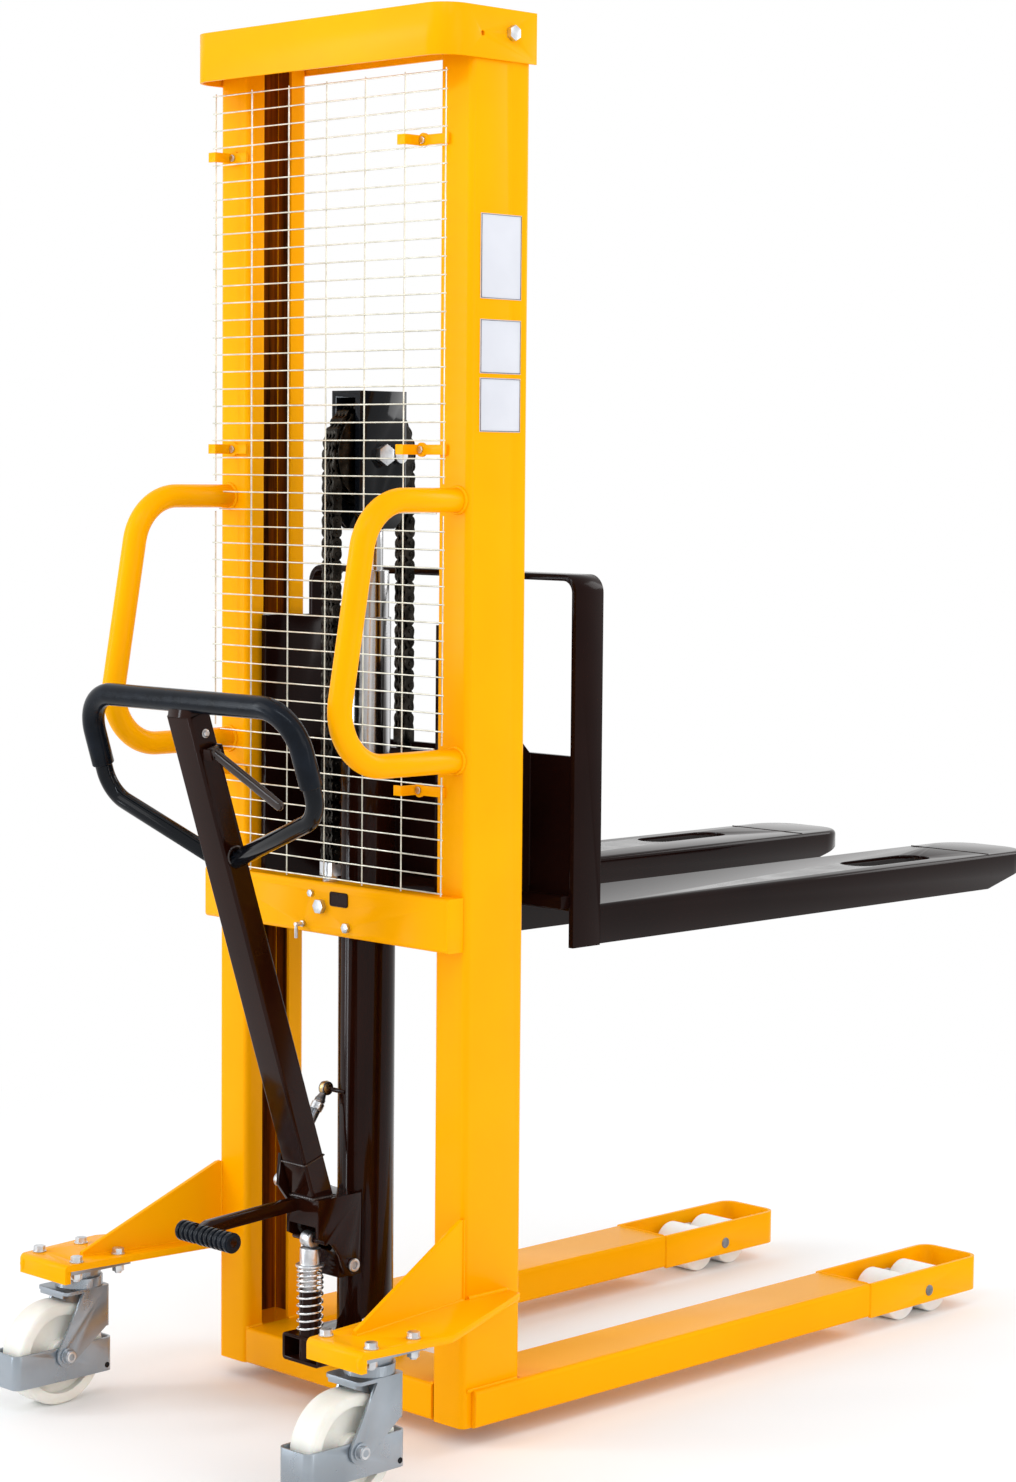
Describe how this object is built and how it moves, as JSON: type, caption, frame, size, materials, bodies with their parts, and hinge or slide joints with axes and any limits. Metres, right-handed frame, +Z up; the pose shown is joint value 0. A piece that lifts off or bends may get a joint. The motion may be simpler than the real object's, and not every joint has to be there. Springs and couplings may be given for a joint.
{
  "type": "hand pallet stacker",
  "caption": "Hand-pumped pallet stacker: lipped channel mast with wire guard, chain-lifted fork carriage on a central ram, tiller pump, straddling roller legs and swivel casters.",
  "frame": {"origin": "on the floor, below the middle of the bounding box", "axes": "+Z up, +Y forward along the forks, +X to the operator's right"},
  "size_m": [0.784, 1.658, 2],
  "materials": {
    "yellow_paint": "gloss",
    "dark_paint": "gloss",
    "zinc": "zinc plated",
    "chain_steel": "oiled",
    "nylon": "satin",
    "rubber": "matte",
    "grey_paint": "satin",
    "white_plate": "satin"
  },
  "bodies": {
    "frame": {"mast_channel_left": "yellow_paint", "mast_channel_right": "yellow_paint", "top_beam": "yellow_paint", "mid_beam": "yellow_paint", "base_beam": "yellow_paint", "leg_left": "yellow_paint", "leg_right": "yellow_paint", "caster_bracket_left": "yellow_paint", "caster_bracket_right": "yellow_paint", "grab_handle_left": "yellow_paint", "grab_handle_right": "yellow_paint", "mesh_guard": "zinc", "mesh_clips": "yellow_paint", "mesh_screws": "zinc", "beam_bolts": "zinc", "chain_anchor_rear": "chain_steel", "lift_cylinder": "dark_paint", "pump_base": "dark_paint", "pivot_pin": "zinc", "bogie_pins": "zinc", "caster_plates": "zinc", "caster_bolts": "zinc", "blank_plates": "white_plate", "chain_rear": "chain_steel", "pump_spring": "zinc"},
    "crosshead": {"lifting_ram": "dark_paint", "crosshead": "dark_paint", "pulley_axle": "zinc", "chain_wrap": "chain_steel"},
    "pulley": {"chain_pulley": "chain_steel"},
    "carriage": {"carriage_frame": "dark_paint", "backrest": "dark_paint", "fork_left": "dark_paint", "fork_right": "dark_paint", "chain_anchor_front": "chain_steel", "chain_front": "chain_steel"},
    "tiller": {"tiller_bracket": "dark_paint", "tiller_tube": "dark_paint", "handle_loop": "dark_paint", "handle_grip": "rubber", "pedal_grip": "rubber"},
    "pump_roller": {"pump_roller": "zinc"},
    "release_lever": {"release_lever": "dark_paint"},
    "pump_plunger": {"pump_plunger": "zinc"},
    "strut_body": {"strut_body": "grey_paint"},
    "strut_rod": {"strut_rod": "zinc"},
    "caster_fork_left": {"caster_fork_left": "zinc"},
    "caster_wheel_left": {"caster_wheel_left": "nylon"},
    "bogie_left": {"bogie_left": "zinc"},
    "load_roller_left_rear": {"load_roller_left_rear": "nylon"},
    "load_roller_left_front": {"load_roller_left_front": "nylon"},
    "mast_roller_left_low": {"mast_roller_left_low": "zinc"},
    "mast_roller_left_high": {"mast_roller_left_high": "zinc"},
    "caster_fork_right": {"caster_fork_right": "zinc"},
    "caster_wheel_right": {"caster_wheel_right": "nylon"},
    "bogie_right": {"bogie_right": "zinc"},
    "load_roller_right_rear": {"load_roller_right_rear": "nylon"},
    "load_roller_right_front": {"load_roller_right_front": "nylon"},
    "mast_roller_right_low": {"mast_roller_right_low": "zinc"},
    "mast_roller_right_high": {"mast_roller_right_high": "zinc"}
  },
  "joints": [
    {"name": "lift", "type": "slide", "parent": "frame", "child": "crosshead", "axis": [0, 0, 1], "range_m": [-0.3305, 0.372], "deforming": ["chain_rear"]},
    {"name": "carriage_slide", "type": "slide", "parent": "crosshead", "child": "carriage", "axis": [0, 0, 1], "range_m": [-0.3305, 0.372], "deforming": ["chain_front"]},
    {"name": "pulley_spin", "type": "hinge", "parent": "crosshead", "child": "pulley", "pos_m": [0, -0.413, 1.392], "axis": [1, 0, 0], "continuous": true},
    {"name": "tiller_tilt", "type": "hinge", "parent": "frame", "child": "tiller", "pos_m": [0, -0.469, 0.222], "axis": [1, 0, 0], "range_deg": [0, 20], "stiffness_Nm_per_rad": 70, "springref_deg": -40.11},
    {"name": "pump_roller_spin", "type": "hinge", "parent": "tiller", "child": "pump_roller", "pos_m": [0, -0.52, 0.2623], "axis": [1, 0, 0], "continuous": true},
    {"name": "pump_stroke", "type": "slide", "parent": "frame", "child": "pump_plunger", "axis": [0, 0, 1], "range_m": [-0.021, 0], "deforming": ["pump_spring"]},
    {"name": "strut_swing", "type": "hinge", "parent": "frame", "child": "strut_body", "pos_m": [-0.043, -0.453, 0.468], "axis": [1, 0, 0], "range_deg": [-4.5, 0]},
    {"name": "strut_stroke", "type": "slide", "parent": "strut_body", "child": "strut_rod", "axis": [0, -0.573, -0.8195], "range_m": [0, 0.0485]},
    {"name": "release", "type": "hinge", "parent": "tiller", "child": "release_lever", "pos_m": [0.035, -0.72922, 0.98223], "axis": [0, -0.9511, -0.309], "range_deg": [0, 15], "stiffness_Nm_per_rad": 1.5, "springref_deg": -14.32},
    {"name": "caster_swivel_left", "type": "hinge", "parent": "frame", "child": "caster_fork_left", "pos_m": [-0.32, -0.693, 0.18], "axis": [0, 0, 1], "continuous": true},
    {"name": "caster_roll_left", "type": "hinge", "parent": "caster_fork_left", "child": "caster_wheel_left", "pos_m": [-0.32, -0.741, 0.075], "axis": [1, 0, 0], "continuous": true},
    {"name": "bogie_rock_left", "type": "hinge", "parent": "frame", "child": "bogie_left", "pos_m": [-0.222, 0.572, 0.046], "axis": [1, 0, 0], "range_deg": [-8, 8]},
    {"name": "load_roll_left_rear", "type": "hinge", "parent": "bogie_left", "child": "load_roller_left_rear", "pos_m": [-0.222, 0.531, 0.0375], "axis": [1, 0, 0], "continuous": true},
    {"name": "load_roll_left_front", "type": "hinge", "parent": "bogie_left", "child": "load_roller_left_front", "pos_m": [-0.222, 0.613, 0.0375], "axis": [1, 0, 0], "continuous": true},
    {"name": "mast_roll_left_low", "type": "hinge", "parent": "carriage", "child": "mast_roller_left_low", "pos_m": [-0.2355, -0.413, 0.806], "axis": [1, 0, 0], "continuous": true},
    {"name": "mast_roll_left_high", "type": "hinge", "parent": "carriage", "child": "mast_roller_left_high", "pos_m": [-0.2355, -0.413, 1.106], "axis": [1, 0, 0], "continuous": true},
    {"name": "caster_swivel_right", "type": "hinge", "parent": "frame", "child": "caster_fork_right", "pos_m": [0.32, -0.693, 0.18], "axis": [0, 0, 1], "continuous": true},
    {"name": "caster_roll_right", "type": "hinge", "parent": "caster_fork_right", "child": "caster_wheel_right", "pos_m": [0.32, -0.741, 0.075], "axis": [1, 0, 0], "continuous": true},
    {"name": "bogie_rock_right", "type": "hinge", "parent": "frame", "child": "bogie_right", "pos_m": [0.222, 0.572, 0.046], "axis": [1, 0, 0], "range_deg": [-8, 8]},
    {"name": "load_roll_right_rear", "type": "hinge", "parent": "bogie_right", "child": "load_roller_right_rear", "pos_m": [0.222, 0.531, 0.0375], "axis": [1, 0, 0], "continuous": true},
    {"name": "load_roll_right_front", "type": "hinge", "parent": "bogie_right", "child": "load_roller_right_front", "pos_m": [0.222, 0.613, 0.0375], "axis": [1, 0, 0], "continuous": true},
    {"name": "mast_roll_right_low", "type": "hinge", "parent": "carriage", "child": "mast_roller_right_low", "pos_m": [0.2355, -0.413, 0.806], "axis": [1, 0, 0], "continuous": true},
    {"name": "mast_roll_right_high", "type": "hinge", "parent": "carriage", "child": "mast_roller_right_high", "pos_m": [0.2355, -0.413, 1.106], "axis": [1, 0, 0], "continuous": true}
  ],
  "couplings": [
    {"joint": "carriage_slide", "follows": "lift", "ratio": 1},
    {"joint": "pulley_spin", "follows": "lift", "rad_per_m": 14.085},
    {"joint": "pump_stroke", "follows": "tiller_tilt", "m_per_rad": -0.0575},
    {"joint": "strut_swing", "follows": "tiller_tilt", "ratio": -0.2185},
    {"joint": "strut_stroke", "follows": "tiller_tilt", "m_per_rad": 0.1372}
  ]
}
